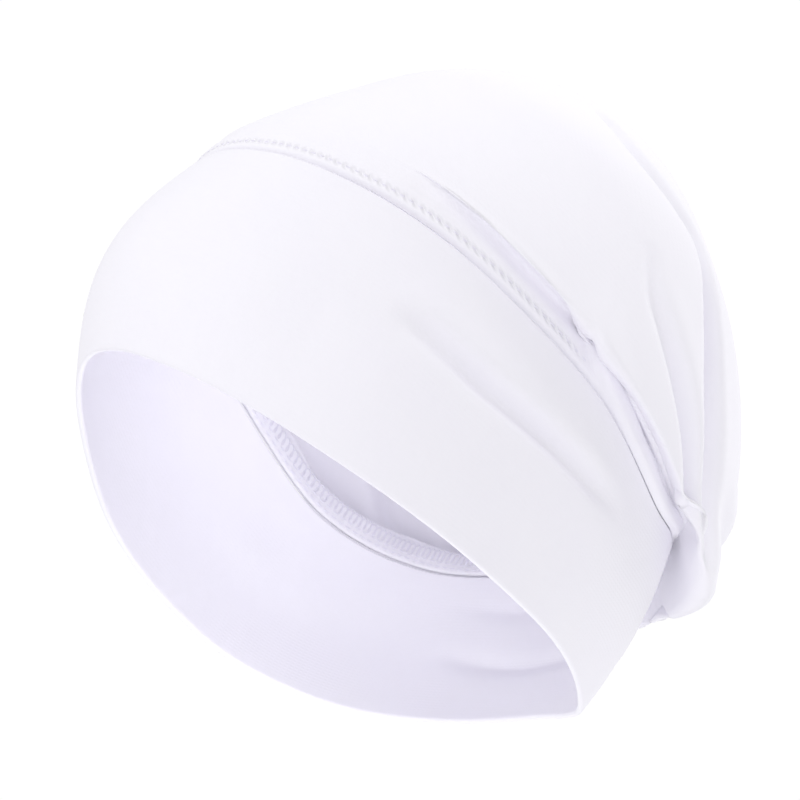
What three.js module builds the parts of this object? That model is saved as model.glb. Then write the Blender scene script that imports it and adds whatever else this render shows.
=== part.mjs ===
// A slouchy sleep bonnet of smooth jersey, in the form that it has on an upright head.
// Millimetres, +Z up. The forehead side faces -Y and the wearer's left side faces +X.
// The origin is the point on the crown's inner face that rests on the top of the head.
import * as THREE from "three";

// The opening: the folded lower edge of the band, a plain oval seen from above.
const RIM_WIDTH = 140;
const RIM_LENGTH = 160;
const RIM_FORWARD = 35.8; // the opening's centre lies this far in front of the seam's centre
const RIM_DROP = 98.5; // from the edge at the forehead down to the corner beside the nape
// The seam between band and crown.
const SEAM_WIDTH = 144;
const SEAM_LENGTH = 160;
const SEAM_DROP = 109; // from the forehead down to the nape
const BAND_FRONT = 65; // height of the band at the forehead
const BAND_BULGE = 10; // how far the band rounds out between its edges
const BAND_DENT = 5; // depth of the soft dents in the band
const BAND_WALL = 2; // two layers of jersey, folded at the rim
// The crown: one layer, gathered into a slouching bag.
const CROWN_RISE = 95.5; // top of the bag above the middle of the seam
const CROWN_WALL = 1;
const CROWN_CLOTH = 160; // cloth from the seam to the closed end, for the flat strip over the seam
const FOLD_DEPTH = 6; // depth of the deepest fold in the bag
const ROLL_DEPTH = 5; // how far the cloth rolls over the strip above the seam
// The overlocked seam allowance, which stands up inside against the crown.
const ALLOWANCE_HEIGHT = 8;
const ALLOWANCE_WALL = 1.2;
const GAP = 0.3; // between the faces of two pieces that are sewn together

const AROUND_STEPS = 72;
const BAND_STEPS = 8;
const CROWN_STEPS = 24;

// Both loops, by the angle round the head in degrees from the forehead over the wearer's left side.
// rim is the drop below the forehead's edge as a share of RIM_DROP, seam the height above the seam's
// middle as a share of SEAM_DROP, and bulge a share of BAND_BULGE.
const LOOPS = [
  { around: 0, rim: 0, seam: 0.5, bulge: 1 },
  { around: 20, rim: 0.09, seam: 0.45, bulge: 0.95 },
  { around: 40, rim: 0.23, seam: 0.34, bulge: 0.8 },
  { around: 60, rim: 0.4, seam: 0.18, bulge: 0.6 },
  { around: 80, rim: 0.57, seam: -0.02, bulge: 0.4 },
  { around: 100, rim: 0.73, seam: -0.21, bulge: 0.2 },
  { around: 120, rim: 0.855, seam: -0.44, bulge: 0.05 },
  { around: 135, rim: 0.94, seam: -0.49, bulge: 0.15 },
  { around: 148, rim: 1, seam: -0.5, bulge: 0.3 },
  { around: 180, rim: 0.975, seam: -0.5, bulge: 0.3 },
  { around: 210, rim: 0.955, seam: -0.505, bulge: 0.35 },
  { around: 235, rim: 0.9, seam: -0.478, bulge: 0.4 },
  { around: 260, rim: 0.765, seam: -0.334, bulge: 0.45 },
  { around: 280, rim: 0.59, seam: -0.084, bulge: 0.5 },
  { around: 300, rim: 0.385, seam: 0.17, bulge: 0.6 },
  { around: 320, rim: 0.135, seam: 0.335, bulge: 0.8 },
  { around: 340, rim: 0, seam: 0.45, bulge: 0.95 },
];

// The bag's outline in the middle plane, from the seam to the closed end, in front and behind.
// front and back are shares of SEAM_LENGTH behind the seam's centre, front_up and back_up shares of
// CROWN_RISE above its middle, and half a share of SEAM_WIDTH before the end is rounded shut.
const BAG = [
  { along: 0, front: -0.5, front_up: 0.571, back: 0.5, back_up: -0.571, half: 0.5 },
  { along: 0.15, front: -0.412, front_up: 0.69, back: 0.55, back_up: -0.765, half: 0.576 },
  { along: 0.35, front: -0.2, front_up: 0.853, back: 0.635, back_up: -0.44, half: 0.625 },
  { along: 0.6, front: -0.006, front_up: 0.969, back: 0.625, back_up: 0.079, half: 0.722 },
  { along: 0.8, front: 0.181, front_up: 1, back: 0.581, back_up: 0.571, half: 0.764 },
  { along: 1, front: 0.425, front_up: 0.948, back: 0.425, back_up: 0.948, half: 0.792 },
];

// Folds that hang down the bag, from a high end to a low end near the seam. around is in degrees,
// along a share of the way to the closed end, bow the bend between the ends in degrees, width in
// degrees, and depth a share of FOLD_DEPTH. The cloth swells beside each fold, on the side of ridge.
const DRAPES = [
  { high: 84, high_along: 0.36, low: 124, low_along: 0.05, bow: 5, width: 8, depth: 0.7, ridge: 1 },
  { high: 99, high_along: 0.62, low: 138, low_along: 0.07, bow: -3, width: 8, depth: 1, ridge: 1 },
  { high: 60, high_along: 0.74, low: 96, low_along: 0.5, bow: 0, width: 8, depth: 0.3, ridge: 1 },
  { high: 168, high_along: 0.6, low: 172, low_along: 0.1, bow: 3, width: 9, depth: 0.6, ridge: 1 },
  { high: 212, high_along: 0.55, low: 200, low_along: 0.1, bow: -4, width: 9, depth: 0.7, ridge: -1 },
  { high: 258, high_along: 0.56, low: 226, low_along: 0.08, bow: 4, width: 8, depth: 0.9, ridge: -1 },
  { high: 278, high_along: 0.34, low: 240, low_along: 0.06, bow: -5, width: 8, depth: 0.7, ridge: -1 },
];

// Rolls that run round the bag above the seam. from and to are in degrees, the three along values
// are at the two ends and between them, and width is a share of the way along. depth is how far the
// cloth stands out and overhang how far it hangs back over the strip, as shares of ROLL_DEPTH.
const ROLLS = [
  { from: 46, to: 150, start: 0.15, middle: 0.12, end: 0.1, width: 0.045, depth: 1, overhang: 1 },
  { from: 212, to: 318, start: 0.1, middle: 0.12, end: 0.15, width: 0.045, depth: 0.9, overhang: 1 },
];

// Soft dents in the band: around and width in degrees, up and tall as shares of the band's height,
// rise how much up grows over the dent's width, and depth a share of BAND_DENT.
const DENTS = [
  { around: 88, up: 0.62, rise: 0.08, width: 26, tall: 0.12, depth: 0.8 },
  { around: 40, up: 0.32, rise: 0, width: 24, tall: 0.3, depth: 0.5 },
  { around: 196, up: 0.35, rise: 0, width: 26, tall: 0.12, depth: 0.7 },
  { around: 190, up: 0.7, rise: 0, width: 30, tall: 0.12, depth: 0.6 },
  { around: 278, up: 0.55, rise: -0.08, width: 26, tall: 0.14, depth: 0.6 },
];

const radians = (degrees) => (degrees * Math.PI) / 180;
const smooth = (t) => t * t * (3 - 2 * t);
const clamp01 = (t) => Math.min(1, Math.max(0, t));
const hill = (t) => Math.exp(-t * t);

// A smooth curve through (x, y) knots: cubic pieces whose slope at a knot is that between its neighbours.
function throughKnots(knots, x) {
  const last = knots.length - 1;
  let i = 0;
  while (i < last - 1 && x > knots[i + 1][0]) i += 1;
  const slope = (k) => {
    const a = knots[Math.max(0, k - 1)];
    const b = knots[Math.min(last, k + 1)];
    return (b[1] - a[1]) / (b[0] - a[0]);
  };
  const span = knots[i + 1][0] - knots[i][0];
  const t = (x - knots[i][0]) / span;
  const rise = smooth(t);
  const leave = t * (1 - t) * (1 - t);
  const arrive = t * t * (t - 1);
  return knots[i][1] * (1 - rise) + knots[i + 1][1] * rise + span * (leave * slope(i) + arrive * slope(i + 1));
}

// One column of LOOPS at an angle in degrees, smooth all the way round.
function loopValue(column, degrees) {
  const angle = ((degrees % 360) + 360) % 360;
  const rows = LOOPS.map((row) => [row.around, row[column]]);
  const before = rows.slice(-2).map(([x, y]) => [x - 360, y]);
  const after = rows.slice(0, 2).map(([x, y]) => [x + 360, y]);
  return throughKnots([...before, ...rows, ...after], angle);
}

function rimPoint(degrees) {
  const a = radians(degrees);
  const front = SEAM_DROP / 2 - BAND_FRONT;
  return new THREE.Vector3(
    (RIM_WIDTH / 2) * Math.sin(a),
    -RIM_FORWARD - (RIM_LENGTH / 2) * Math.cos(a),
    front - RIM_DROP * loopValue("rim", degrees),
  );
}

function seamPoint(degrees) {
  const a = radians(degrees);
  return new THREE.Vector3(
    (SEAM_WIDTH / 2) * Math.sin(a),
    -(SEAM_LENGTH / 2) * Math.cos(a),
    SEAM_DROP * loopValue("seam", degrees),
  );
}

const bandUp = (degrees) => seamPoint(degrees).sub(rimPoint(degrees)).normalize();

// The band's outer face: straight from rim to seam, rounded out between them and softly dented.
function bandPoint(degrees, up) {
  const a = radians(degrees);
  const rise = bandUp(degrees);
  const out = new THREE.Vector3(Math.sin(a) / RIM_WIDTH, -Math.cos(a) / RIM_LENGTH, 0).normalize();
  out.addScaledVector(rise, -out.dot(rise)).normalize();
  let swell = BAND_BULGE * loopValue("bulge", degrees) * Math.sin(Math.PI * up);
  for (const dent of DENTS) {
    const across = (degrees - dent.around) / dent.width;
    const height = (up - dent.up - dent.rise * across) / dent.tall;
    swell -= BAND_DENT * dent.depth * hill(across) * hill(height) * Math.sin(Math.PI * up);
  }
  return rimPoint(degrees).lerp(seamPoint(degrees), up).addScaledVector(out, swell);
}

// The middle-plane outline as one curve from the front seam (-1) over the closed end (0) to the nape (1).
const outline = (front, back, size) => [
  ...BAG.map((row) => [row.along - 1, row[front] * size]),
  ...BAG.slice(0, -1).reverse().map((row) => [1 - row.along, row[back] * size]),
];
const OUTLINE_Y = outline("front", "back", SEAM_LENGTH);
const OUTLINE_Z = outline("front_up", "back_up", CROWN_RISE);
const HALF_WIDTHS = BAG.map((row) => [row.along, row.half * SEAM_WIDTH]);

// An oval across the bag, between the outline's front and back points at the same share of the way.
function bagOval(degrees, along) {
  const a = radians(degrees);
  const half = throughKnots(HALF_WIDTHS, along) * Math.cos((Math.PI / 2) * along);
  const between = (knots) => {
    const front = throughKnots(knots, along - 1);
    const back = throughKnots(knots, 1 - along);
    return (front + back) / 2 + ((front - back) / 2) * Math.cos(a);
  };
  return new THREE.Vector3(half * Math.sin(a), between(OUTLINE_Y), between(OUTLINE_Z));
}

const FLAT_STRIP = ALLOWANCE_HEIGHT / CROWN_CLOTH; // the cloth lies flat over the allowance
const BAG_STARTS = 0.15; // and has the bag's own form from here on
const SEAM_FADES = 0.5; // the seam's own waves fade out up to here

// The bag without its folds. It leaves the seam straight up, then rolls over into the bag.
function bagPoint(degrees, along) {
  const seam = seamPoint(degrees);
  const left = 1 - clamp01(along / SEAM_FADES);
  const waves = seam.clone().sub(bagOval(degrees, 0)).multiplyScalar(smooth(left));
  const bag = bagOval(degrees, along).add(waves);
  const strip = seam.addScaledVector(bandUp(degrees), along * CROWN_CLOTH);
  return strip.lerp(bag, smooth(clamp01((along - FLAT_STRIP) / (BAG_STARTS - FLAT_STRIP))));
}

const TINY = 1e-3;

// The outward direction and the direction away from the rim on a face given by face(degrees, up).
function directions(face, degrees, up) {
  const low = Math.max(0, up - TINY);
  const high = Math.min(1, up + TINY);
  const along = face(degrees, high).sub(face(degrees, low)).normalize();
  const round = face(degrees + 0.1, up).sub(face(degrees - 0.1, up)).normalize();
  return { along, out: round.cross(along).normalize() };
}

// How far the cloth stands in or out at a point, over all the hanging folds.
function drapeDepth(degrees, along) {
  let depth = 0;
  for (const fold of DRAPES) {
    const share = (fold.high_along - along) / (fold.high_along - fold.low_along);
    const middle = fold.high + (fold.low - fold.high) * share + fold.bow * 4 * share * (1 - share);
    const fade = smooth(clamp01(1.6 * Math.min(share + 0.15, 1.15 - share)));
    const across = (degrees - middle) / fold.width;
    depth -= FOLD_DEPTH * fold.depth * fade * hill(across);
    depth += FOLD_DEPTH * 0.2 * fold.depth * fade * hill(across - 2 * fold.ridge);
  }
  return depth;
}

function crownPoint(degrees, along) {
  const angle = ((degrees % 360) + 360) % 360;
  const { along: away, out } = directions(bagPoint, angle, along);
  const point = bagPoint(angle, along);
  const loose = smooth(clamp01((along - FLAT_STRIP) / 0.06));
  const open = smooth(clamp01((1 - along) / 0.3));
  point.addScaledVector(out, drapeDepth(angle, along) * loose * open);
  for (const roll of ROLLS) {
    const share = (angle - roll.from) / (roll.to - roll.from);
    const fade = smooth(clamp01(4 * Math.min(share, 1 - share)));
    const middle = throughKnots([[0, roll.start], [0.5, roll.middle], [1, roll.end]], clamp01(share));
    const height = ROLL_DEPTH * hill((along - middle) / roll.width) * fade * loose;
    point.addScaledVector(out, roll.depth * height).addScaledVector(away, -roll.overhang * height);
  }
  return point;
}

// Angles round the head, closer together where the folds hang beside the ears.
const AT_SIDES = 0.5;
const TO_BACK = 0.5;
const ANGLES = Array.from({ length: AROUND_STEPS }, (_, i) => {
  const t = (2 * Math.PI * i) / AROUND_STEPS;
  return ((t + (AT_SIDES / 2) * Math.sin(2 * t) + TO_BACK * Math.sin(t)) * 180) / Math.PI;
});
const UPS = Array.from({ length: BAND_STEPS + 1 }, (_, i) => i / BAND_STEPS);
// Steps along the bag, closer together above the seam, with one at the top of the allowance.
const ALONGS = Array.from({ length: CROWN_STEPS }, (_, i) => (i / CROWN_STEPS) ** 1.5);
ALONGS.push(FLAT_STRIP);
ALONGS.sort((a, b) => a - b);
// The crown's lines of points lean forward as they rise, as its folds do.
const LEAN = 52; // degrees at the sides
const LEAN_ENDS = 0.62; // share of the way along
const leaning = (along) => {
  const lean = LEAN * Math.sin((Math.PI / 2) * clamp01(along / LEAN_ENDS));
  return ANGLES.map((degrees) => degrees - lean * Math.sin(radians(degrees)));
};

// A ring of points on a face, set in from it by inset and moved by shift along the face.
const ring = (face, up, angles, inset, shift = 0) =>
  angles.map((degrees) => {
    const { along, out } = directions(face, degrees, up);
    return face(degrees, up).addScaledVector(out, -inset).addScaledVector(along, shift);
  });

// A closed skin over rings of equal count. Without end points the last ring joins the first one.
function skin(rings, start, end) {
  const count = rings[0].length;
  const positions = rings.flat();
  const faces = [];
  const quad = (low, high, i) => {
    const j = (i + 1) % count;
    faces.push(low * count + i, low * count + j, high * count + j);
    faces.push(low * count + i, high * count + j, high * count + i);
  };
  const last = rings.length - 1;
  for (let k = 0; k < last; k += 1) for (let i = 0; i < count; i += 1) quad(k, k + 1, i);
  if (start && end) {
    positions.push(start, end);
    for (let i = 0; i < count; i += 1) {
      const j = (i + 1) % count;
      faces.push(positions.length - 2, j, i);
      faces.push(positions.length - 1, last * count + i, last * count + j);
    }
  } else {
    for (let i = 0; i < count; i += 1) quad(last, 0, i);
  }
  const geometry = new THREE.BufferGeometry();
  geometry.setAttribute("position", new THREE.Float32BufferAttribute(positions.flatMap((p) => p.toArray()), 3));
  geometry.setIndex(faces);
  geometry.computeVertexNormals();
  return geometry;
}

// The band: the outer face from rim to seam, the inner face back down, and the fold's round edge.
function bandGeometry() {
  const edge = (up, inset) => ring(bandPoint, up, ANGLES, inset, up === 1 ? -GAP / 2 : 0);
  const outer = UPS.map((up) => edge(up, 0));
  const inner = UPS.map((up) => edge(up, BAND_WALL)).reverse();
  const fold = ring(bandPoint, 0, ANGLES, BAND_WALL / 2, -BAND_WALL / 2);
  return skin([...outer, ...inner, fold]);
}

// The closed end of the bag, where all the rings meet, set in by inset.
function closedEnd(inset) {
  const slopeY = throughKnots(OUTLINE_Y, TINY) - throughKnots(OUTLINE_Y, -TINY);
  const slopeZ = throughKnots(OUTLINE_Z, TINY) - throughKnots(OUTLINE_Z, -TINY);
  const out = new THREE.Vector3(0, -slopeZ, slopeY).normalize();
  return bagOval(0, 1).addScaledVector(out, -inset);
}

// One face of the crown, or of the allowance behind it, which starts by shift above the seam.
const crownRings = (alongs, inset, shift) =>
  alongs.map((along) => ring(crownPoint, along, leaning(along), inset, along ? 0 : shift));

// The crown: the inner face from the closed end down to the seam, then the outer face back up.
function crownGeometry() {
  const inner = crownRings(ALONGS, CROWN_WALL, GAP / 2).reverse();
  const outer = crownRings(ALONGS, 0, GAP / 2);
  return skin([...inner, ...outer], closedEnd(CROWN_WALL), closedEnd(0));
}

// The allowance: a strip round the inside of the seam, one gap in from the crown's inner face.
function allowanceGeometry() {
  const near = CROWN_WALL + GAP;
  const heights = ALONGS.filter((along) => along <= FLAT_STRIP);
  const outer = crownRings(heights, near, GAP);
  const inner = crownRings(heights, near + ALLOWANCE_WALL, GAP);
  return skin([...outer, ...inner.reverse()]);
}

const jersey = (colour) =>
  new THREE.MeshStandardMaterial({ color: colour, roughness: 0.75, metalness: 0, side: THREE.DoubleSide });

const bonnet = new THREE.Group();
const pieces = [
  ["band", bandGeometry(), jersey(0xf6f5fc)],
  ["crown", crownGeometry(), jersey(0xf8f7fd)],
  ["seam_allowance", allowanceGeometry(), jersey(0xf2f0fa)],
];

// The head's top meets the crown's inner face here, on the middle plane.
const SEAT_ALONG = 0.62;
const seat = bagPoint(0, SEAT_ALONG).addScaledVector(directions(bagPoint, 0, SEAT_ALONG).out, -CROWN_WALL);

for (const [name, geometry, material] of pieces) {
  const mesh = new THREE.Mesh(geometry, material);
  mesh.name = name;
  mesh.position.copy(seat).negate();
  bonnet.add(mesh);
}

export default bonnet;
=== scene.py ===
"""A slouchy sleep bonnet of white jersey: a folded double band, a gathered crown, an overlocked seam.

Lengths are in millimetres until a mesh is put into the scene, which is in metres. Angles round the head
are in degrees from the forehead over the wearer's left side, and the origin is where the crown's inner
face rests on the top of the head.
"""
import math

import bmesh
import bpy
import numpy as np
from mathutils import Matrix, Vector


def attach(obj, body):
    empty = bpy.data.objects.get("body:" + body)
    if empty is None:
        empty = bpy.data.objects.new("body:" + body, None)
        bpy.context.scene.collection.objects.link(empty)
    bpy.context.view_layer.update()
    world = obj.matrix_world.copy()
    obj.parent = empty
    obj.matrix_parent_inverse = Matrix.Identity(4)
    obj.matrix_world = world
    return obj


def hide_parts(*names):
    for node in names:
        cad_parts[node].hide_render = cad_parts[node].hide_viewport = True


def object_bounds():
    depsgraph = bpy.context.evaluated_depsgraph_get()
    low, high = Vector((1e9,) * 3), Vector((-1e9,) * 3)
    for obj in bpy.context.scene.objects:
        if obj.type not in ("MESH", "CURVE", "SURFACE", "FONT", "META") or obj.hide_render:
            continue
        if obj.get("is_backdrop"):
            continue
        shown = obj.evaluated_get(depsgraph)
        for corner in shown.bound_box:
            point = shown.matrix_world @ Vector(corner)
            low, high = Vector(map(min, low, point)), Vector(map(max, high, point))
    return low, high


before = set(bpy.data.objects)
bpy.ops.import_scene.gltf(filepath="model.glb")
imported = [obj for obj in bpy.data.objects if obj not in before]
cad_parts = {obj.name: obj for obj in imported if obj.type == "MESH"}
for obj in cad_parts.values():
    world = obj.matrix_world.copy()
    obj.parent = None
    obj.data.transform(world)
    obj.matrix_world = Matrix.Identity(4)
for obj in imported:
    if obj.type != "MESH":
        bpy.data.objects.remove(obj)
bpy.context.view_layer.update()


# Band: one strip of white cotton and elastane jersey, folded in half along the rim so that two layers
# lie on each other, joined into a ring and sewn by its two raw edges to the crown. It has no elastic:
# the knit's own stretch holds it, so it stands smooth and rounded, with a few shallow soft dents.

RIM_WIDTH, RIM_LENGTH, RIM_FORWARD, RIM_DROP = 140, 160, 35.8, 98.5
SEAM_WIDTH, SEAM_LENGTH, SEAM_DROP = 144, 160, 109
SEAM_ROUND = 560  # length of the seam all the way round
BAND_FRONT, BAND_BULGE, BAND_WALL = 65, 10, 2  # height over the forehead, bulge and thickness
CROWN_RISE, CROWN_WALL, CROWN_CLOTH = 95.5, 1, 160  # height, thickness, cloth from seam to end

# around, rim as a share of RIM_DROP, seam as a share of SEAM_DROP, bulge as a share of BAND_BULGE
LOOPS = np.array([
    (0, 0, 0.5, 1), (20, 0.09, 0.462, 0.95), (40, 0.23, 0.355, 0.8), (60, 0.4, 0.195, 0.6),
    (80, 0.57, -0.008, 0.4), (100, 0.73, -0.21, 0.2), (120, 0.855, -0.44, 0.05),
    (135, 0.94, -0.49, 0.15), (148, 1, -0.5, 0.3), (180, 0.975, -0.5, 0.3), (210, 0.955, -0.505, 0.35),
    (235, 0.9, -0.478, 0.4), (260, 0.765, -0.334, 0.45), (280, 0.59, -0.084, 0.5),
    (300, 0.385, 0.17, 0.6), (320, 0.135, 0.335, 0.8), (340, 0, 0.45, 0.95),
])
# The bag's outline in the middle plane: along, front, front_up, back, back_up and half its width,
# as shares of SEAM_LENGTH, CROWN_RISE and SEAM_WIDTH.
BAG = np.array([
    (0, -0.5, 0.571, 0.5, -0.571, 0.5), (0.15, -0.412, 0.69, 0.55, -0.765, 0.576),
    (0.35, -0.2, 0.853, 0.635, -0.44, 0.625), (0.6, -0.006, 0.969, 0.625, 0.079, 0.722),
    (0.8, 0.181, 1, 0.581, 0.571, 0.764), (1, 0.425, 0.948, 0.425, 0.948, 0.792),
])


def smooth(t):
    """An S-shaped rise from 0 at t = 0 to 1 at t = 1: 3 t squared less 2 t cubed."""
    t = np.clip(t, 0, 1)
    return t * t * (3 - 2 * t)


def hill(t):
    """A bell, 1 in the middle: e to the power of minus t squared."""
    return np.exp(-t * t)


def unit(v):
    """Each vector divided by its length."""
    return v / np.maximum(np.linalg.norm(v, axis=-1, keepdims=True), 1e-12)


def dot(a, b):
    """The products of the coordinates, added up, with the last axis kept."""
    return np.sum(a * b, axis=-1, keepdims=True)


def through(xs, ys, x):
    """A smooth curve through knots: cubic pieces whose slope at a knot is that between its neighbours."""
    xs, ys = np.asarray(xs, float), np.asarray(ys, float)
    slope = np.empty_like(ys)
    slope[1:-1] = (ys[2:] - ys[:-2]) / (xs[2:] - xs[:-2])
    slope[0] = (ys[1] - ys[0]) / (xs[1] - xs[0])
    slope[-1] = (ys[-1] - ys[-2]) / (xs[-1] - xs[-2])
    i = np.clip(np.searchsorted(xs, x, side="left") - 1, 0, len(xs) - 2)
    span = xs[i + 1] - xs[i]
    t = (x - xs[i]) / span
    rise = t * t * (3 - 2 * t)
    bend = span * (t * (1 - t) ** 2 * slope[i] + t * t * (t - 1) * slope[i + 1])
    return ys[i] * (1 - rise) + ys[i + 1] * rise + bend


def loop_value(column, degrees):
    """A column of LOOPS at an angle, with two rows repeated past each end so that it closes smoothly."""
    around, values = LOOPS[:, 0], LOOPS[:, column]
    xs = np.concatenate([around[-2:] - 360, around, around[:2] + 360])
    ys = np.concatenate([values[-2:], values, values[:2]])
    return through(xs, ys, np.mod(degrees, 360))


def rim_point(degrees):
    """The rim: an oval seen from above, with its height from LOOPS."""
    a = np.radians(degrees)
    z = SEAM_DROP / 2 - BAND_FRONT - RIM_DROP * loop_value(1, degrees)
    return np.stack([RIM_WIDTH / 2 * np.sin(a), -RIM_FORWARD - RIM_LENGTH / 2 * np.cos(a), z], -1)


def seam_point(degrees):
    """The seam: a second oval, with its height from LOOPS."""
    a = np.radians(degrees)
    return np.stack([SEAM_WIDTH / 2 * np.sin(a), -SEAM_LENGTH / 2 * np.cos(a),
                     SEAM_DROP * loop_value(2, degrees)], -1)


def band_up(degrees):
    """The direction from rim to seam."""
    return unit(seam_point(degrees) - rim_point(degrees))


def bag_oval(degrees, along):
    """An oval across the bag, between the outline's front and back points at the same share of the way."""
    a = np.radians(degrees)
    xs = np.concatenate([BAG[:, 0] - 1, 1 - BAG[-2::-1, 0]])
    half = through(BAG[:, 0], BAG[:, 5] * SEAM_WIDTH, along) * np.cos(np.pi / 2 * along)
    axes = [half * np.sin(a)]
    for front, back, size in ((1, 3, SEAM_LENGTH), (2, 4, CROWN_RISE)):
        ys = np.concatenate([BAG[:, front], BAG[-2::-1, back]]) * size
        ahead, behind = through(xs, ys, along - 1), through(xs, ys, 1 - along)
        axes.append((ahead + behind) / 2 + (ahead - behind) / 2 * np.cos(a))
    return np.stack(np.broadcast_arrays(*axes), -1)


FLAT_STRIP, BAG_STARTS, SEAM_FADES = 0.05, 0.15, 0.5  # shares of the way along the bag
FRONT_LEAN = 0.85  # how far the strip over the forehead leans back with the bag, as a share


def bag_point(degrees, along):
    """The bag without folds: straight up from the seam over the flat strip, then over into the ovals.

    The seam's own waves are added to the ovals and fade out up to SEAM_FADES. Over the forehead the
    strip leans back with the bag instead of standing up.
    """
    seam = seam_point(degrees)
    flare = seam - bag_oval(degrees, 0 * along)
    waves = flare * smooth(1 - along / SEAM_FADES)[..., None]
    start = np.full_like(along, BAG_STARTS)
    slope = unit(bag_oval(degrees, start) + flare * smooth(1 - BAG_STARTS / SEAM_FADES) - seam)
    leans = FRONT_LEAN * smooth((np.cos(np.radians(degrees)) - 0.35) / 0.5)[..., None]
    rise = unit(band_up(degrees) * (1 - leans) + slope * leans)
    strip = seam + rise * (along * CROWN_CLOTH)[..., None]
    t = smooth((along - FLAT_STRIP) / (BAG_STARTS - FLAT_STRIP))[..., None]
    return strip * (1 - t) + (bag_oval(degrees, along) + waves) * t


def directions(face, degrees, up):
    """Unit vectors round the head, away from the rim and outwards, from small steps on a face."""
    away = unit(face(degrees, np.minimum(up + 1e-3, 1)) - face(degrees, np.maximum(up - 1e-3, 0)))
    around = unit(face(degrees + 0.1, up) - face(degrees - 0.1, up))
    return around, away, unit(np.cross(around, away))


SEAT_ALONG = 0.62  # where the bag rests on the top of the head, as a share of the way
seat_angle, seat_along = np.zeros(1), np.full(1, SEAT_ALONG)
SEAT = (bag_point(seat_angle, seat_along)
        - directions(bag_point, seat_angle, seat_along)[2] * CROWN_WALL)[0]


CREASE_FADES = 6  # past its ends, in millimetres
POINTS_AT_ONCE = 20000  # measured together, so that the arrays stay small


def crease_field(x, y, knots, samples=72):
    """Signed distance from a crease line, its strength there and the direction across it.

    The line is a smooth curve through the knots (x, y, strength) in millimetres. For each point the
    nearest sample is found, and the distance is measured square to the line there, positive on the
    line's left side. Past an end the strength falls as a bell of the distance beyond it.
    """
    knots = np.asarray(knots, float)
    steps = np.concatenate([[0], np.cumsum(np.hypot(*np.diff(knots[:, :2], axis=0).T))])
    s = np.linspace(0, steps[-1], samples)
    line = np.stack([through(steps, knots[:, k], s) for k in (0, 1)], -1)
    force = np.interp(s, steps, knots[:, 2])
    tangent = unit(np.gradient(line, axis=0))
    flat = np.stack([np.ravel(x), np.ravel(y)], -1)
    nearest = np.empty(len(flat), int)
    for part in np.array_split(np.arange(len(flat)), max(1, len(flat) // POINTS_AT_ONCE)):
        gap = flat[part, None] - line[None]
        nearest[part] = np.argmin(np.einsum("ijk,ijk->ij", gap, gap), axis=1)
    gap = flat - line[nearest]
    ahead = np.sum(gap * tangent[nearest], -1)
    across = gap[:, 1] * tangent[nearest, 0] - gap[:, 0] * tangent[nearest, 1]
    place = np.clip(s[nearest] + ahead, 0, steps[-1])
    beyond = np.abs(s[nearest] + ahead - place)
    strength = np.interp(place, s, force) * hill(beyond / CREASE_FADES)
    shape = np.shape(x)
    normal = np.stack([-tangent[nearest, 1], tangent[nearest, 0]], -1)
    return across.reshape(shape), strength.reshape(shape), normal.reshape(shape + (2,))


BAND_TALL = 72  # mean height of the band
MM_PER_DEGREE = 1.36  # along the band
# Soft folds in the band: knots (around, up, strength), then the depth, the width of the hollow and
# the height of the swelling on its upper side, in millimetres. A negative depth swells outwards.
BAND_FOLDS = [
    ([(56, 0.56, 0), (63, 0.6, 0.6), (75, 0.6, 1), (89, 0.63, 1), (104, 0.68, 0.8), (114, 0.76, 0)],
     5.4, 4.0, 1.6),
    ([(30, 0.3, 0), (44, 0.3, 1), (58, 0.28, 0)], 1.6, 15, 0),
    ([(80, 0.24, 0), (98, 0.3, 1), (118, 0.4, 0)], 1.2, 9, 0.4),
    ([(285, 0.5, 0), (268, 0.58, 1), (250, 0.66, 0.6), (238, 0.7, 0)], 0.7, 9, 0),
    ([(226, 0.86, 0), (214, 0.8, 0.8), (200, 0.78, 1), (186, 0.8, 0.7), (178, 0.82, 0)], -2.2, 4.5, 0),
    ([(222, 0.5, 0), (208, 0.42, 0.9), (196, 0.4, 1), (182, 0.44, 0.8), (172, 0.5, 0)], -2.4, 5, 0),
    ([(156, 0.2, 0), (152, 0.26, 1), (149, 0.34, 0)], 1.2, 3.5, 0),
]
RIDGE_PLACE, RIDGE_WIDTH = 1.7, 1.3  # of the swelling, as shares of the hollow's width


def band_point(degrees, up):
    """The band's outer face: straight from rim to seam, rounded out between them, with soft folds.

    The bulge and the folds act along the outward direction times the sine of pi times up, which keeps
    both edges on their lines.
    """
    a = np.radians(degrees)
    rise = band_up(degrees)
    out = unit(np.stack([np.sin(a) / RIM_WIDTH, -np.cos(a) / RIM_LENGTH, 0 * a], -1))
    out = unit(out - rise * dot(out, rise))
    swell = BAND_BULGE * loop_value(3, degrees)
    for knots, depth, width, ridge in BAND_FOLDS:
        knots = [(k[0] * MM_PER_DEGREE, k[1] * BAND_TALL, k[2]) for k in knots]
        across, strength, _ = crease_field(np.mod(degrees, 360) * MM_PER_DEGREE, up * BAND_TALL, knots)
        swell = swell - depth * strength * hill(across / width)
        swell = swell + ridge * strength * hill((across - RIDGE_PLACE * width) / (RIDGE_WIDTH * width))
    lift = (swell * np.sin(np.pi * up))[..., None]
    return rim_point(degrees) * (1 - up)[..., None] + seam_point(degrees) * up[..., None] + out * lift


AROUND_COLUMNS = 352


def columns(count=AROUND_COLUMNS):
    """Angles round the head: close together at the sides, where the folds hang, wide apart in front."""
    t = 2 * np.pi * np.arange(count) / count
    return np.degrees(t + 0.2 * np.sin(2 * t) + 0.35 * np.sin(t))


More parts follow.
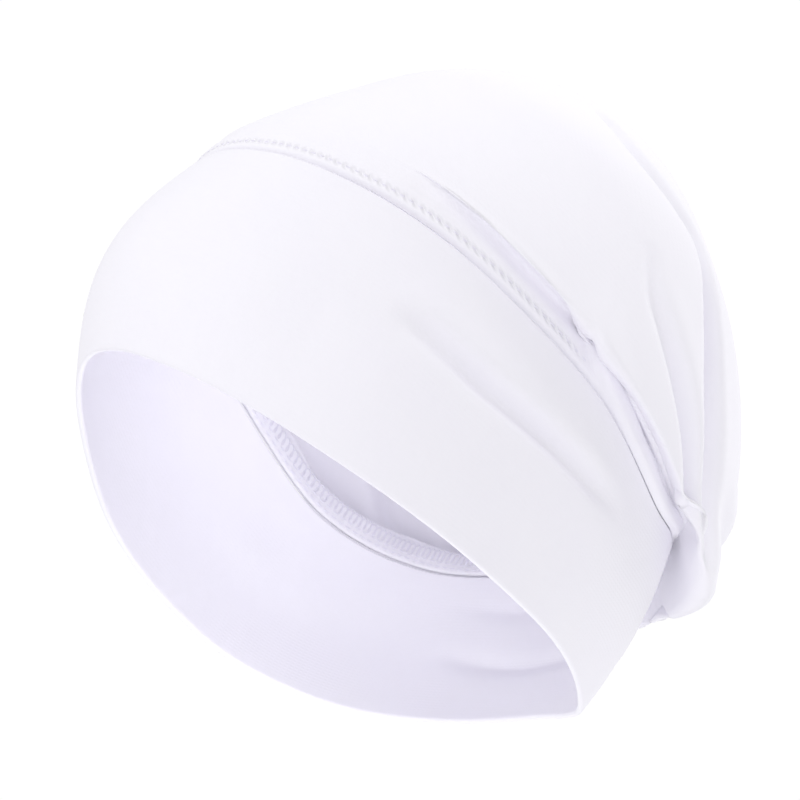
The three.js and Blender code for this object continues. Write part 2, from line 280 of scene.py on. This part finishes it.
def put_mesh(name, points, faces, corner_uv=None):
    """A mesh object from arrays: points in millimetres in the seam's frame, faces as rows of indices."""
    mesh = bpy.data.meshes.new(name)
    sides = faces.shape[1]
    mesh.vertices.add(len(points))
    mesh.vertices.foreach_set("co", ((points - SEAT) / 1000).astype(np.float32).ravel())
    mesh.loops.add(faces.size)
    mesh.loops.foreach_set("vertex_index", faces.astype(np.int32).ravel())
    mesh.polygons.add(len(faces))
    mesh.polygons.foreach_set("loop_start", np.arange(0, faces.size, sides, dtype=np.int32))
    mesh.update(calc_edges=True)
    if corner_uv is not None:
        mesh.uv_layers.new(name="cloth").data.foreach_set("uv", corner_uv.astype(np.float32).ravel())
    mesh.polygons.foreach_set("use_smooth", np.ones(len(faces), bool))
    mesh.validate()
    piece = bpy.data.objects.new(name, mesh)
    bpy.context.scene.collection.objects.link(piece)
    return piece


def shell(name, rings, u, v, closed_rows):
    """Skins rings of points, (rows, columns, 3), into quads with a cloth map in metres.

    Row k joins row k + 1, and every ring closes on itself. With closed_rows the last row joins the
    first one, which makes a closed wall. Faces point to the right of the rows' direction.
    """
    rows, count = rings.shape[:2]
    low = np.arange(rows if closed_rows else rows - 1)
    i, j = np.meshgrid(low, np.arange(count), indexing="ij")
    i, j = i.ravel(), j.ravel()
    high, next_j = (i + 1) % rows, (j + 1) % count
    faces = np.stack([i * count + j, i * count + next_j, high * count + next_j, high * count + j], -1)
    wide = np.append(u, u[0] + SEAM_ROUND)
    left, right = wide[j], wide[j + 1]
    corner_uv = np.stack([
        np.stack([left, v[i]], -1), np.stack([right, v[i]], -1),
        np.stack([right, v[high]], -1), np.stack([left, v[high]], -1)], 1) / 1000
    return put_mesh(name, rings.reshape(-1, 3), faces, corner_uv.reshape(-1, 2))


def linear(colour):
    """A hex colour as the eye sees it on a screen, turned to linear light, with full opacity."""
    channels = [int(colour[k:k + 2], 16) / 255 for k in (1, 3, 5)]
    return [c / 12.92 if c <= 0.04045 else ((c + 0.055) / 1.055) ** 2.4 for c in channels] + [1]


def add_node(tree, kind, links=None, **settings):
    """Adds a node to a tree and joins its inputs, by place or name, to the outputs in links.

    A setting such as in_2 sets the input at place 2, and any other setting is the node's own.
    """
    node = tree.nodes.new(kind)
    for key, value in settings.items():
        if key.startswith("in_"):
            node.inputs[int(key[3:])].default_value = value
        else:
            setattr(node, key, value)
    for target, source in (links or {}).items():
        tree.links.new(source, node.inputs[target])
    return node


# The knit's columns and rows in millimetres, about three times as coarse as the real 0.5 mm, which
# would be too fine to show. A wave texture of scale 1 has 20 / (2 pi) waves to a metre.
WALE, COURSE = 1.8, 1.5
WAVES = 20 / (2 * math.pi)
KNIT_DEPTH = 0.0003  # metres


def jersey(name, colour, shade, knit=0.08, extra=None):
    """Single jersey of combed cotton with elastane: matt, with a short soft nap that scatters light.

    Knit columns and rows roughen the surface, as strongly as knit says, and a faint cloudy change of
    tone stands for the uneven thickness of the knit. The function extra may add to the relief.
    """
    material = bpy.data.materials.new(name)
    material.use_nodes = True
    tree = material.node_tree
    shader = tree.nodes["Principled BSDF"]
    cloth = add_node(tree, "ShaderNodeUVMap", uv_map="cloth").outputs[0]
    wales = add_node(tree, "ShaderNodeTexWave", {0: cloth}, wave_type="BANDS", bands_direction="X",
                     in_1=1000 / WALE / WAVES, in_2=0.4, in_3=2, in_4=1)
    rows = add_node(tree, "ShaderNodeTexWave", {0: cloth}, wave_type="BANDS", bands_direction="Y",
                    in_1=1000 / COURSE / WAVES, in_2=0.4, in_3=2, in_4=1)
    loops = add_node(tree, "ShaderNodeMath", {0: wales.outputs["Fac"], 1: rows.outputs["Fac"]},
                     operation="MULTIPLY")
    bump = add_node(tree, "ShaderNodeBump", {"Height": loops.outputs[0]}, in_0=knit, in_1=KNIT_DEPTH)
    relief = extra(tree, cloth, bump) if extra else bump
    clouds = add_node(tree, "ShaderNodeTexNoise", {0: cloth}, in_2=45, in_3=3)
    tone = add_node(tree, "ShaderNodeMix", {0: clouds.outputs["Fac"]}, data_type="RGBA")
    tone.inputs[6].default_value = linear(shade)
    tone.inputs[7].default_value = linear(colour)
    tree.links.new(tone.outputs[2], shader.inputs["Base Color"])
    tree.links.new(relief.outputs["Normal"], shader.inputs["Normal"])
    shader.inputs["Roughness"].default_value = 0.85
    shader.inputs["Specular IOR Level"].default_value = 0.25
    shader.inputs["Subsurface Weight"].default_value = 0.2
    shader.inputs["Subsurface Radius"].default_value = (1, 1, 1)
    shader.inputs["Subsurface Scale"].default_value = 0.0004
    shader.inputs["Sheen Weight"].default_value = 0.15
    shader.inputs["Sheen Roughness"].default_value = 0.5
    return material


degrees = columns()
round_mm = degrees / 360 * SEAM_ROUND
# rows up the band, closer together where it turns into the seam, and the steps of the fold at the rim
outer_up = np.concatenate([np.linspace(0, 0.9, 62)[:-1], np.linspace(0.9, 0.995, 16)])
fold_turn = np.radians(np.linspace(-90, 90, 11)[1:-1])
SEAM_ROLL = 1.6  # radius over which the band's top edge turns into the seam


def band_ring(up, inset, drop=0.0):
    """A ring on the band, set in from the outer face and moved down past the rim, in millimetres."""
    up = np.full_like(degrees, up)
    _, away, out = directions(band_point, degrees, up)
    return band_point(degrees, up) - out * inset - away * drop


rings, heights = [], []
for up in outer_up:
    over = max(0.0, (up - 1) * BAND_TALL + SEAM_ROLL)
    rings.append(band_ring(up, SEAM_ROLL - math.sqrt(SEAM_ROLL ** 2 - over ** 2) if over else 0))
    heights.append(up * BAND_TALL)
for up in outer_up[::-1]:
    rings.append(band_ring(up, BAND_WALL))
    heights.append((2 - up) * BAND_TALL)
fold_radius = BAND_WALL / 2
for turn in fold_turn:
    rings.append(band_ring(0, fold_radius * (1 - math.sin(turn)), fold_radius * math.cos(turn)))
    heights.append(-fold_radius * (math.pi / 2 - turn))
band = shell("band_cloth", np.stack(rings), round_mm, np.array(heights), True)
band.data.materials.append(jersey("cotton_elastane_jersey_band", "#f8f6fe", "#f5f3fd"))
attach(band, "root")
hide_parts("band")


# Crown: one layer of the same jersey, cut as a long bag and gathered into the seam, so that it rises
# over the head and hangs back over the nape. Just above the seam it lies flat over the allowance; then
# it rolls over and falls in lobes between deep soft creases, which run down beside each ear.

# Creases: knots (around, along, strength), depth and width of the hollow, height, place and width of
# the swelling on its upper side, and how far that side hangs over the hollow, in millimetres.
CREASES = [
    # the start of the tuck under the roll, which tuck_height then carries down to the seam
    ([(43, 0.118, 0), (50, 0.122, 0.6), (57, 0.124, 1), (64, 0.126, 1), (70, 0.13, 0.9), (75, 0.132, 0.6),
      (79, 0.119, 0.25), (86, 0.075, 0)], 1.8, 1.2, 1.3, 2.4, 1.8, 2.2),
    # the soft line behind the narrow roll
    ([(80, 0.16, 0), (84, 0.136, 0.3), (88, 0.11, 0.7), (93, 0.08, 0.9),
      (99, 0.06, 1), (105, 0.048, 1), (113, 0.04, 1), (122, 0.036, 1), (131, 0.038, 0.6), (141, 0.05, 0)],
     2.2, 1.4, 0.8, 3.2, 2.2, 0.6),
    # the crease between the first and second lobe
    ([(82, 0.37, 0), (87.5, 0.304, 0.35), (94, 0.277, 0.6), (101.5, 0.248, 0.85), (109, 0.215, 1),
      (114, 0.18, 1), (119, 0.14, 0.9), (128, 0.11, 0.6), (140, 0.1, 0)], 6.6, 3.0, 0.9, 6.6, 4.0, 1.4),
    # the long crease from the top of the bag down behind the second lobe
    ([(58, 0.7, 0), (66, 0.66, 0.32), (76, 0.6, 0.4), (90, 0.565, 0.36), (99, 0.54, 0.42),
      (103, 0.48, 0.6), (105, 0.4, 0.9), (109, 0.32, 1), (115, 0.262, 0.9), (121, 0.21, 0.8),
      (132, 0.16, 0.5), (144, 0.14, 0)], 7.6, 3.3, 0.9, 7.4, 4.4, 1.4),
    # the shelf under the bag's back
    ([(122, 0.24, 0), (130, 0.238, 0.8), (140, 0.243, 1), (152, 0.25, 0.8), (166, 0.25, 0.5),
      (184, 0.25, 0)], 2.2, 3.6, 1.4, 6, 4, 0.8),
    # hanging folds at the nape
    ([(162, 0.58, 0), (166, 0.42, 0.8), (170, 0.26, 1), (174, 0.12, 0.6), (176, 0.08, 0)],
     3.4, 6, 1.2, 10, 6, 0),
    ([(214, 0.56, 0), (208, 0.42, 0.8), (203, 0.26, 1), (198, 0.12, 0.6), (196, 0.08, 0)],
     3.8, 6, 1.2, 10, 6, 0),
    # the right side: the tuck under its roll, the line behind it and two long creases
    ([(222, 0.03, 0), (232, 0.024, 0.8), (246, 0.026, 1), (258, 0.04, 1), (270, 0.07, 1),
      (279, 0.104, 1), (288, 0.122, 1), (300, 0.122, 0.9), (312, 0.12, 0.5), (320, 0.118, 0)],
     1.6, 1.5, 1.6, 2.8, 2.0, 2.4),
    ([(226, 0.08, 0), (238, 0.072, 0.8), (250, 0.086, 1), (262, 0.112, 0.9), (274, 0.146, 0.6),
      (284, 0.165, 0)], 1.8, 1.7, 1.0, 3.8, 2.4, 0.8),
    ([(232, 0.1, 0), (242, 0.14, 0.8), (250, 0.185, 1), (258, 0.235, 0.9), (270, 0.31, 0.5),
      (280, 0.37, 0)], 3.8, 4.4, 1.0, 7.5, 4.5, 0),
    ([(222, 0.14, 0), (232, 0.19, 0.7), (240, 0.26, 1), (248, 0.36, 0.9), (256, 0.48, 0.5),
      (266, 0.6, 0.2), (280, 0.68, 0)], 4.2, 5, 0.8, 9, 5, 0),
]


CROWN_MM_PER_DEGREE = 1.42  # around the crown, for the creases
# The tuck beside the left ear: knots of its angle and its height above the seam in millimetres.
TUCK = np.array([
    (60, 23), (74, 21), (79, 19), (84, 14), (89, 8.4), (95, 3.4), (102, 0.2), (114, -1.2), (150, -1.2),
])
# The narrow roll above that tuck: its two ends in degrees, its thickness, its height above the tuck and
# how far its lower edge hangs down, in millimetres.
ROLL_FROM, ROLL_TO, ROLL_THICK, ROLL_HIGH, ROLL_HANGS = 76, 148, 2.2, 24, 0.7
# The lobes that fill the hollow behind the ear: the middle in degrees and above the seam, half the
# width in degrees, half the height and the thickness in millimetres.
FILL_ANGLE, FILL_UP, FILL_WIDE, FILL_HIGH, FILL_THICK = 146, 16, 20, 12, 5.5
STEP_UP, STEP_THICK, PUCKER_DEPTH = 6.5, 0.5, 0.16  # the allowance's edge and the puckers, in millimetres


def tuck_height(degrees):
    """How high above the seam the tuck beside the left ear runs, in millimetres."""
    return through(TUCK[:, 0], TUCK[:, 1], np.clip(degrees, TUCK[0, 0] + 0.1, TUCK[-1, 0] - 0.1))


def crown_point(degrees, along):
    """The crown's outer face: the bag with its creases, its roll, its fill and what shows at the seam.

    Each crease sinks the cloth by a bell across its line, lifts a second bell on its upper side and
    draws that side back over the hollow. The hollows don't act on the flat strip over the allowance,
    except where the roll lies on it.
    """
    degrees = np.mod(degrees, 360)
    around, away, out = directions(bag_point, degrees, along)
    x = degrees * CROWN_MM_PER_DEGREE
    y = along * CROWN_CLOTH
    # from the tuck up, the roll beside the left ear lies on the strip, thick enough for its own hollows
    above = y - tuck_height(degrees)
    rolled = smooth((degrees - ROLL_FROM) / 11) * smooth((ROLL_TO - degrees) / 18)
    loose = np.maximum(smooth((along - 0.6 * FLAT_STRIP) / 0.05), rolled * smooth(above / 3))
    open_end = smooth((1 - along) / 0.3)
    lift, slide_x, slide_y = 0 * along, 0 * along, 0 * along
    for knots, depth, width, ridge, place, spread, overhang in CREASES:
        knots = [(k[0] * CROWN_MM_PER_DEGREE, k[1] * CROWN_CLOTH, k[2]) for k in knots]
        across, strength, normal = crease_field(x, y, knots)
        swell = strength * hill((across - place) / spread) * open_end
        lift = lift + ridge * swell - depth * strength * hill(across / width) * loose * open_end
        slide_x = slide_x - overhang * swell * normal[..., 0]
        slide_y = slide_y - overhang * swell * normal[..., 1]
    # the top edge of the allowance shows through as a soft ridge, and small puckers cross the strip
    lift = lift + STEP_THICK * hill((y - STEP_UP) / 2.2)
    pucker = np.sin(x / 2.9 + 2.6 * np.sin(x / 13)) * np.sin(x / 9.7 + 1) + 0.6 * np.sin(x / 5.3 + y / 3)
    lift = lift + PUCKER_DEPTH * pucker * hill((y - 8) / 6) * smooth(y / 4)
    lift = lift + rolled * ROLL_THICK * smooth((above + 0.6) / 3.8) * smooth((ROLL_HIGH - above) / 14)
    slide_y = slide_y - rolled * ROLL_HANGS * hill((above - 2.4) / 2.2)
    fill = hill((degrees - FILL_ANGLE) / FILL_WIDE) * hill((y - FILL_UP) / FILL_HIGH)
    lift = lift + FILL_THICK * fill * smooth((y - 2) / 9)
    point = bag_point(degrees, along) + out * lift[..., None]
    return point + around * slide_x[..., None] + away * slide_y[..., None]


COLUMNS_LEAN, LEAN_REACHED = 52, 0.62  # degrees beside the ears, at this share of the way


def crown_ring_angles(along):
    """The columns lean forward as they rise, as the folds do, most of all beside the ears."""
    lean = COLUMNS_LEAN * math.sin(math.pi / 2 * min(1, along / LEAN_REACHED))
    return degrees - lean * np.sin(np.radians(degrees))


ALONG_ROWS, CLOSER_BELOW = 132, 1.35  # the power draws the rows together at the seam
alongs = (np.arange(ALONG_ROWS) / ALONG_ROWS) ** CLOSER_BELOW
angle_grid = np.stack([crown_ring_angles(a) for a in alongs])
along_grid = np.repeat(alongs[:, None], len(degrees), axis=1)
outer = crown_point(angle_grid, along_grid)


def grid_normals(points):
    """Outward unit normals of a grid of closed rings, from the differences of its neighbours."""
    round_step = np.roll(points, -1, axis=1) - np.roll(points, 1, axis=1)
    up_step = np.gradient(points, axis=0)
    return unit(np.cross(round_step, up_step))


WALL = 0.8  # the visible thickness of one layer
TURN_DEPTH, TURN_HEIGHT, INNER_SHARE = 1.2, 1.1, 0.4
inner = outer - grid_normals(outer) * WALL
# Both faces turn into the seam at their lower edge, the inner one less.
turn_in = TURN_DEPTH * hill(along_grid * CROWN_CLOTH / TURN_HEIGHT)[..., None]
seam_out = directions(bag_point, angle_grid, along_grid)[2]
outer = outer - seam_out * turn_in
inner = inner - seam_out * turn_in * INNER_SHARE
bag_end = bag_oval(np.zeros(1), np.ones(1))[0]
end_out = grid_normals(outer)[-1].mean(0)
crown_rings = np.concatenate([inner[::-1], outer])
crown_v = np.concatenate([-alongs[::-1], alongs]) * CROWN_CLOTH
crown = shell("crown_cloth", crown_rings, round_mm, crown_v, False)


def close_ends(piece, lower, upper):
    """Closes the first and the last ring of a shell with a fan of triangles to a point each."""
    mesh = piece.data
    count = len(degrees)
    total = len(mesh.vertices)
    work = bmesh.new()
    work.from_mesh(mesh)
    work.verts.ensure_lookup_table()
    rings = [[work.verts[first + k] for k in range(count)] for first in (0, total - count)]
    for point, ring, flip in ((lower, rings[0], True), (upper, rings[1], False)):
        tip = work.verts.new((point - SEAT) / 1000)
        for k in range(count):
            a, b = ring[k], ring[(k + 1) % count]
            work.faces.new((b, a, tip) if flip else (a, b, tip)).smooth = True
    work.to_mesh(mesh)
    work.free()


close_ends(crown, bag_end - end_out * WALL, bag_end)

STITCH_PITCH, TOPSTITCH_UP = 3.2, 3.4
PIT_HALF, PIT_DEPTH = 0.0016, 0.0007  # metres
# Where the roll covers the stitches: its middle along the seam, and half its width at which the pits
# are gone and at which they are all there, in metres.
COVER_MIDDLE, COVERED, UNCOVERED = 0.187, 0.040, 0.048


def stitch_dimples(tree, cloth, bump):
    """Small pits where the topstitch pulls the strip in, one to each stitch, but none under the roll.

    Along the seam they follow half of 1 plus a cosine, and across it a smooth step down from the row.
    """
    u_v = add_node(tree, "ShaderNodeSeparateXYZ", {0: cloth})
    beat = add_node(tree, "ShaderNodeMath", {0: u_v.outputs[0]}, operation="MULTIPLY",
                    in_1=2 * math.pi / STITCH_PITCH * 1000)
    wave = add_node(tree, "ShaderNodeMath", {0: beat.outputs[0]}, operation="COSINE")
    pits = add_node(tree, "ShaderNodeMath", {0: wave.outputs[0]}, operation="MULTIPLY_ADD",
                    in_1=0.5, in_2=0.5)
    off = add_node(tree, "ShaderNodeMath", {0: u_v.outputs[1]}, operation="SUBTRACT",
                   in_1=TOPSTITCH_UP / 1000)
    far = add_node(tree, "ShaderNodeMath", {0: off.outputs[0]}, operation="ABSOLUTE")
    near = add_node(tree, "ShaderNodeMapRange", {0: far.outputs[0]}, interpolation_type="SMOOTHSTEP",
                    in_1=0, in_2=PIT_HALF, in_3=1, in_4=0)
    along_seam = add_node(tree, "ShaderNodeMath", {0: u_v.outputs[0]}, operation="SUBTRACT",
                          in_1=COVER_MIDDLE)
    from_roll = add_node(tree, "ShaderNodeMath", {0: along_seam.outputs[0]}, operation="ABSOLUTE")
    bare = add_node(tree, "ShaderNodeMapRange", {0: from_roll.outputs[0]}, in_1=COVERED, in_2=UNCOVERED)
    shown = add_node(tree, "ShaderNodeMath", {0: pits.outputs[0], 1: bare.outputs[0]},
                     operation="MULTIPLY")
    deep = add_node(tree, "ShaderNodeMath", {0: shown.outputs[0], 1: near.outputs[0]},
                    operation="MULTIPLY")
    return add_node(tree, "ShaderNodeBump", {"Height": deep.outputs[0], "Normal": bump.outputs[0]},
                    invert=True, in_0=0.7, in_1=PIT_DEPTH)


crown.data.materials.append(jersey("cotton_elastane_jersey_crown", "#f8f6fe", "#f6f4fd",
                                   extra=stitch_dimples))
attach(crown, "root")
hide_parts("crown")


# Topstitch: white polyester thread, one short stitch to every 3.2 mm, sewn through the crown and the
# allowance under it. It sinks into the cloth at both ends of each stitch.

SIDES = 6  # of every thread


def thread_points(centres, tangent, outward, radius):
    """Points round a thread: centre plus the radius times the cosine sideways and the sine outwards."""
    side = unit(np.cross(tangent, outward))
    out = np.cross(side, tangent)
    turn = np.radians(np.arange(SIDES) * 360 / SIDES)[:, None]
    ring = np.cos(turn) * side[..., None, :] + np.sin(turn) * out[..., None, :]
    return centres[..., None, :] + radius * ring


def stitches(name, centres, outward, radius):
    """Short round stitches from centres (count, steps, 3), which narrow at both ends.

    The radius goes with the root of 1.04 less the square of the way from the middle, so that a fifth
    of it is left at the ends.
    """
    count, steps = centres.shape[:2]
    share = np.linspace(-1, 1, steps)
    thick = radius * np.sqrt(np.clip(1.04 - share ** 2, 0.04, 1))
    points = thread_points(centres, unit(np.gradient(centres, axis=1)), outward, thick[:, None, None])
    k, r, here = np.meshgrid(np.arange(count), np.arange(steps - 1), np.arange(SIDES), indexing="ij")
    low = (k * steps + r) * SIDES
    high, there = low + SIDES, (here + 1) % SIDES
    walls = np.stack([low + here, high + here, high + there, low + there], -1).reshape(-1, 4)
    first = (np.arange(count) * steps * SIDES)[:, None]
    last = first + (steps - 1) * SIDES
    caps = np.concatenate([first + np.array([0, 1, 2, 3]), first + np.array([0, 3, 4, 5]),
                           last + np.array([3, 2, 1, 0]), last + np.array([5, 4, 3, 0])])
    return put_mesh(name, points.reshape(-1, 3), np.concatenate([walls, caps]))


def thread(name, colour):
    """Spun polyester sewing thread: slightly shiny, with a fine uneven fuzz in its tone and relief."""
    material = bpy.data.materials.new(name)
    material.use_nodes = True
    tree = material.node_tree
    shader = tree.nodes["Principled BSDF"]
    place = add_node(tree, "ShaderNodeTexCoord").outputs["Object"]
    fibres = add_node(tree, "ShaderNodeTexNoise", {0: place}, in_2=3000, in_3=2)
    bump = add_node(tree, "ShaderNodeBump", {"Height": fibres.outputs["Fac"]}, in_0=0.4, in_1=0.0001)
    tone = add_node(tree, "ShaderNodeMix", {0: fibres.outputs["Fac"]}, data_type="RGBA")
    tone.inputs[6].default_value = linear("#e9e6f6")
    tone.inputs[7].default_value = linear(colour)
    tree.links.new(tone.outputs[2], shader.inputs["Base Color"])
    tree.links.new(bump.outputs[0], shader.inputs["Normal"])
    shader.inputs["Roughness"].default_value = 0.55
    shader.inputs["Specular IOR Level"].default_value = 0.4
    return material


STITCH_STEPS, STITCH_SINK = 5, 0.35  # points along a stitch, and how deep its ends sink in


def row_on(face, up_mm, length, pitch, lift):
    """Centres and outward directions of a row of stitches at a height above the seam on a face."""
    count = int(SEAM_ROUND / pitch)
    middle = (np.arange(count) + 0.5) / count * 360
    share = np.linspace(-1, 1, STITCH_STEPS)
    angle = middle[:, None] + share[None] / 2 * length / SEAM_ROUND * 360
    along = np.full_like(angle, up_mm / CROWN_CLOTH)
    _, _, out = directions(face, angle, along)
    return face(angle, along) + out * (lift - STITCH_SINK * share ** 2)[None, :, None], out


white_thread = thread("spun_polyester_thread", "#f6f4fc")
STITCH_LENGTH, STITCH_RADIUS, STITCH_LIFT = 2.5, 0.2, 0.08
top_centres, top_out = row_on(crown_point, TOPSTITCH_UP, STITCH_LENGTH, STITCH_PITCH, STITCH_LIFT)
# under the roll the stitches are out of sight, sunk into the cloth
COVER_FROM, COVER_TO, COVER_SINK = 91, 150, 0.5
stitch_angle = (np.arange(len(top_centres)) + 0.5) / len(top_centres) * 360
hidden = smooth((stitch_angle - COVER_FROM) / 4) * smooth((COVER_TO - stitch_angle) / 6)
top_centres = top_centres - top_out * COVER_SINK * hidden[:, None, None]
topstitch = stitches("topstitch", top_centres, top_out, STITCH_RADIUS)
topstitch.data.materials.append(white_thread)
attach(topstitch, "root")


# Seam allowance: the cut edges of band and crown, trimmed and bound together by the overlock, turned
# up against the inside of the crown and caught there by the topstitch. Its free top edge waves a
# little, because the knit stretched under the needles.

ALLOWANCE_HEIGHT, ALLOWANCE_WALL, GAP = 8, 1.2, 0.3
EDGE_WAVE = 0.35
MAP_BACK = 20  # where the map of the inner face starts, measured back from there


def strip_inside(inset):
    """A face inside the bag's flat strip, set in from it, with a wave along its upper edge."""
    def face(angle, along):
        angle = np.mod(angle, 360)
        _, _, out = directions(bag_point, angle, along)
        x = angle * CROWN_MM_PER_DEGREE
        fades = smooth(along * CROWN_CLOTH / ALLOWANCE_HEIGHT)
        wave = EDGE_WAVE * np.sin(x / 4.7 + np.sin(x / 17)) * fades
        return bag_point(angle, along) - out * (inset + wave)[..., None]
    return face


allowance_up = np.array([0.3, 1.2, 2.4, 3.6, 4.8, 6, 7, 7.7, ALLOWANCE_HEIGHT]) / CROWN_CLOTH
near_face = strip_inside(CROWN_WALL + GAP)
far_face = strip_inside(CROWN_WALL + GAP + ALLOWANCE_WALL)
rings, heights = [], []
for up in allowance_up:
    rings.append(near_face(degrees, np.full_like(degrees, up)))
    heights.append(up * CROWN_CLOTH)
for up in allowance_up[::-1]:
    rings.append(far_face(degrees, np.full_like(degrees, up)))
    heights.append(MAP_BACK - up * CROWN_CLOTH)
allowance = shell("seam_allowance_cloth", np.stack(rings), round_mm, np.array(heights), True)
allowance.data.materials.append(jersey("cut_jersey_edge", "#f8f6fe", "#f4f2fb", knit=0.25))
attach(allowance, "root")
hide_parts("seam_allowance")


# Inner stitches: the thread side of the topstitch, two rows of short dashes low on the allowance.

INNER_ROWS, INNER_LENGTH, INNER_PITCH, INNER_RADIUS, INNER_LIFT = (1.9, 3.7), 2.2, 2.9, 0.24, -0.1
inner_rows = [row_on(far_face, row_up, INNER_LENGTH, INNER_PITCH, INNER_LIFT) for row_up in INNER_ROWS]
inner_stitches = stitches("inner_stitches", np.concatenate([c for c, _ in inner_rows]),
                          -np.concatenate([o for _, o in inner_rows]), INNER_RADIUS)
inner_stitches.data.materials.append(white_thread)
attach(inner_stitches, "root")


# Overlock loops: white textured polyester that zigzags over the allowance's upper half and wraps its
# cut edge, one loop to every 1.9 mm.

LOOP_PITCH, LOOP_LOW, LOOP_HIGH, LOOP_STEPS = 1.9, 4.3, 8.3, 10
LOOP_LEAN = 0.35  # to each side, as a share of the pitch
LOOP_OFF, LOOP_SWAY, LOOP_RADIUS = 0.18, 0.12, 0.22  # mean way off the face, change of it, half thickness
loop_count = int(SEAM_ROUND / LOOP_PITCH)
t = np.arange(loop_count * LOOP_STEPS) / LOOP_STEPS
loop_angle = t / loop_count * 360
# the height swings as a cosine, and a sine of the same beat bends each zigzag into a loop
swing = np.cos(2 * np.pi * t)
loop_along = (LOOP_LOW + (LOOP_HIGH - LOOP_LOW) * (0.5 + 0.5 * swing)) / CROWN_CLOTH
loop_angle = loop_angle + LOOP_LEAN * np.sin(2 * np.pi * t) * LOOP_PITCH / SEAM_ROUND * 360
_, _, loop_out = directions(far_face, loop_angle, loop_along)
loop_off = (LOOP_OFF + LOOP_SWAY * np.sin(4 * np.pi * t))[..., None]
loop_line = far_face(loop_angle, loop_along) - loop_out * loop_off
tangent = unit(np.roll(loop_line, -1, axis=0) - np.roll(loop_line, 1, axis=0))
tube = thread_points(loop_line, tangent, loop_out, LOOP_RADIUS)
i, here = np.meshgrid(np.arange(len(loop_line)), np.arange(SIDES), indexing="ij")
i, here = i.ravel(), here.ravel()
low, high, there = i * SIDES, (i + 1) % len(loop_line) * SIDES, (here + 1) % SIDES
loops = put_mesh("overlock_loops", tube.reshape(-1, 3),
                 np.stack([low + here, high + here, high + there, low + there], -1))
loops.data.materials.append(white_thread)
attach(loops, "root")


# Floor, light and camera: a plain pale studio, bright all round, with broad soft lights above the
# forehead and behind the nape, two weaker ones below, two small lamps in the opening, and the camera
# low beside the wearer's left temple.

FLOOR, FLOOR_HALF = -1.6, 30  # metres; so far below that it doesn't stand in the way of the low lights
floor_mesh = bpy.data.meshes.new("floor")
floor_corners = [(x * FLOOR_HALF, y * FLOOR_HALF, FLOOR) for x, y in ((-1, -1), (1, -1), (1, 1), (-1, 1))]
floor_mesh.from_pydata(floor_corners, [], [(0, 1, 2, 3)])
floor = bpy.data.objects.new("floor", floor_mesh)
bpy.context.scene.collection.objects.link(floor)
paper = bpy.data.materials.new("matt_white_paper")
paper.use_nodes = True
paper_shader = paper.node_tree.nodes["Principled BSDF"]
paper_shader.inputs["Base Color"].default_value = linear("#f7f7f8")
paper_shader.inputs["Roughness"].default_value = 0.9
paper_shader.inputs["Emission Color"].default_value = (1, 1, 1, 1)
paper_shader.inputs["Emission Strength"].default_value = 0.2
floor_mesh.materials.append(paper)
floor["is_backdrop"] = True

world = bpy.data.worlds.new("studio")
world.use_nodes = True
# The walls are white to the camera, but shine on the cloth with less than that.
WALL_LIGHT, WALL_SEEN = 0.69, 1.02
seen = add_node(world.node_tree, "ShaderNodeLightPath").outputs["Is Camera Ray"]
glow = add_node(world.node_tree, "ShaderNodeMapRange", {0: seen}, in_3=WALL_LIGHT, in_4=WALL_SEEN)
world.node_tree.links.new(glow.outputs[0], world.node_tree.nodes["Background"].inputs[1])
world.node_tree.nodes["Background"].inputs[0].default_value = (1, 1, 1, 1)
bpy.context.scene.world = world
bpy.context.scene.view_settings.view_transform = "Standard"


def soft_light(name, place, aim, size, power):
    """A square area light at a place, turned to face a point, in metres and watts."""
    lamp = bpy.data.lights.new(name, "AREA")
    lamp.size, lamp.energy = size, power
    holder = bpy.data.objects.new(name, lamp)
    bpy.context.scene.collection.objects.link(holder)
    holder.location = place
    holder.rotation_mode = "QUATERNION"
    holder.rotation_quaternion = (Vector(aim) - Vector(place)).to_track_quat("-Z", "Y")
    return holder


CENTRE = (0, -0.011, -0.105)
soft_light("key", (0.2, -0.9, 1.2), CENTRE, 0.9, 8)
soft_light("fill", (1.35, -0.85, -0.7), CENTRE, 0.8, 2)
soft_light("low", (0.15, -0.9, -1.2), CENTRE, 1.0, 1)
soft_light("back", (0.2, 1.3, 0.7), CENTRE, 1.0, 8)
# two small lamps, which the camera doesn't see, keep the inside as bright as in the photo
opening = soft_light("opening", (0, -0.035, -0.2), (-0.02, 0, -0.05), 0.08, 0.02)
opening.visible_camera = False
inside = soft_light("inside", (0.01, -0.02, -0.095), (-0.07, 0, -0.05), 0.05, 0.014)
inside.visible_camera = False

AZIMUTH, ELEVATION, AWAY = math.radians(52), math.radians(-12), 1.4
SENSOR, PIXELS_PER_MM, PICTURE = 36, 3.26, 800  # in millimetres, at the model, and pixels across
aim = Vector((0, -0.010966, -0.104658))
towards = Vector((math.sin(AZIMUTH) * math.cos(ELEVATION),
                  -math.cos(AZIMUTH) * math.cos(ELEVATION),
                  math.sin(ELEVATION)))
camera_data = bpy.data.cameras.new("camera")
camera_data.sensor_width = SENSOR
camera_data.lens = SENSOR * PIXELS_PER_MM * AWAY * 1000 / PICTURE
camera = bpy.data.objects.new("camera", camera_data)
bpy.context.scene.collection.objects.link(camera)
camera.location = aim + towards * AWAY
camera.rotation_mode = "QUATERNION"
camera.rotation_quaternion = (-towards).to_track_quat("-Z", "Y")
bpy.context.scene.camera = camera

low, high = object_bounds()
